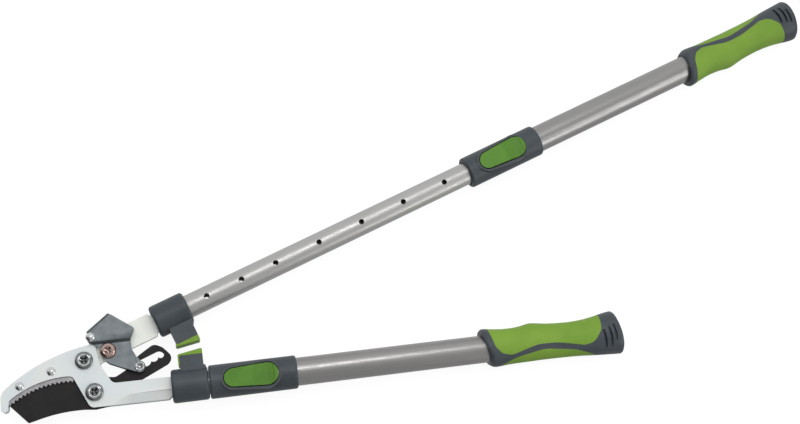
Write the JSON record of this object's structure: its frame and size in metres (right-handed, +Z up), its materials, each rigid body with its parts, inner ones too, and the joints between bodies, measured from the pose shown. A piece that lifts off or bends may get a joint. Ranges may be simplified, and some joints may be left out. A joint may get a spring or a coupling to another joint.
{
  "type": "telescopic ratchet lopper",
  "caption": "Ratchet lopper: hooked double jaw, coated blade with a notched tail, a yoke that steps along it, and handles that slide out and lock at holes.",
  "frame": {"origin": "on the blade's pivot axis, in the middle of the blade's thickness", "axes": "+X along the lower handle, within half a degree, from the head towards its grip, +Y towards the upper handle, +Z up out of the jaw's front face; the tool lies flat"},
  "size_m": [0.8586, 0.3639, 0.0408],
  "materials": {
    "jaw_paint": "light grey baked paint with a slight sheen",
    "blade_coating": "smooth black non-stick coating",
    "arm_steel": "bright zinc-plated sheet steel",
    "yoke_steel": "dull zinc-plated sheet steel",
    "fastener_steel": "bright plated steel",
    "dark_steel": "dark oxide finish",
    "copper_steel": "copper-coloured plating, satin",
    "tube_aluminium": "satin anodised",
    "dark_plastic": "fine-grained moulded plastic",
    "soft_green": "matt soft rubber",
    "button_green": "moulded plastic, half matt",
    "filler_plastic": "plain moulded plastic"
  },
  "bodies": {
    "lower_head": {"jaw_front": "jaw_paint", "jaw_rear": "jaw_paint", "jaw_liners": "fastener_steel", "liner_rivets": "fastener_steel", "jaw_spacer": "filler_plastic", "pivot_bolts": "fastener_steel", "pivot_washers": "dark_steel", "pivot_nuts": "fastener_steel", "hub_washers": "filler_plastic", "lower_tang_wedges": "filler_plastic", "lower_tang_pins": "fastener_steel", "lower_inner_tube": "tube_aluminium", "lower_bumper": "dark_plastic", "lower_buffer": "soft_green", "lower_bush": "filler_plastic"},
    "blade": {"blade": "blade_coating"},
    "upper_arm": {"upper_arm": "arm_steel", "pawl_bolt": "copper_steel", "pawl_spacers": "fastener_steel", "pawl_nut": "fastener_steel", "upper_tang_wedges": "filler_plastic", "upper_tang_pins": "fastener_steel", "upper_inner_tube": "tube_aluminium", "upper_bumper": "dark_plastic", "upper_buffer": "soft_green", "upper_bush": "filler_plastic"},
    "yoke": {"yoke": "yoke_steel", "yoke_rivet": "fastener_steel", "ratchet_pin": "fastener_steel", "ratchet_spacers": "fastener_steel", "yoke_spring": "dark_steel"},
    "lower_handle": {"lower_outer_tube": "tube_aluminium", "lower_lock_collar": "dark_plastic", "lower_grip": "dark_plastic", "lower_grip_panels": "soft_green", "lower_tube_plug": "filler_plastic", "lower_rocker_pin": "fastener_steel"},
    "lower_button": {"lower_button": "button_green", "lower_lock_pin": "fastener_steel"},
    "upper_handle": {"upper_outer_tube": "tube_aluminium", "upper_lock_collar": "dark_plastic", "upper_grip": "dark_plastic", "upper_grip_panels": "soft_green", "upper_tube_plug": "filler_plastic", "upper_rocker_pin": "fastener_steel"},
    "upper_button": {"upper_button": "button_green", "upper_lock_pin": "fastener_steel"}
  },
  "joints": [
    {"name": "handle_hinge", "type": "hinge", "parent": "lower_head", "child": "upper_arm", "pos_m": [-0.0075, 0.0306, 0], "axis": [0, 0, 1], "range_deg": [-4, 32]},
    {"name": "blade_hinge", "type": "hinge", "parent": "lower_head", "child": "blade", "pos_m": [0, 0, 0], "axis": [0, 0, 1], "range_deg": [-3.4, 26.6]},
    {"name": "yoke_hinge", "type": "hinge", "parent": "upper_arm", "child": "yoke", "pos_m": [0.0153, 0.0372, 0], "axis": [0, 0, 1], "range_deg": [-1.3, 10.3]},
    {"name": "lower_telescope", "type": "slide", "parent": "lower_head", "child": "lower_handle", "axis": [1, 0.0083, 0], "range_m": [0, 0.311]},
    {"name": "upper_telescope", "type": "slide", "parent": "upper_arm", "child": "upper_handle", "axis": [0.9377, 0.3475, 0], "range_m": [-0.311, 0]},
    {"name": "lower_lock_rocker", "type": "hinge", "parent": "lower_handle", "child": "lower_button", "pos_m": [0.1488, -0.00208, 0.0151], "axis": [-0.0083, 1, 0], "range_deg": [-3.5, 0]},
    {"name": "upper_lock_rocker", "type": "hinge", "parent": "upper_handle", "child": "upper_button", "pos_m": [0.42462, 0.19523, 0.0151], "axis": [-0.3475, 0.9377, 0], "range_deg": [-3.5, 0]}
  ],
  "couplings": [
    {"joint": "blade_hinge", "follows": "handle_hinge", "ratio": 0.83},
    {"joint": "yoke_hinge", "follows": "handle_hinge", "ratio": 0.32}
  ]
}
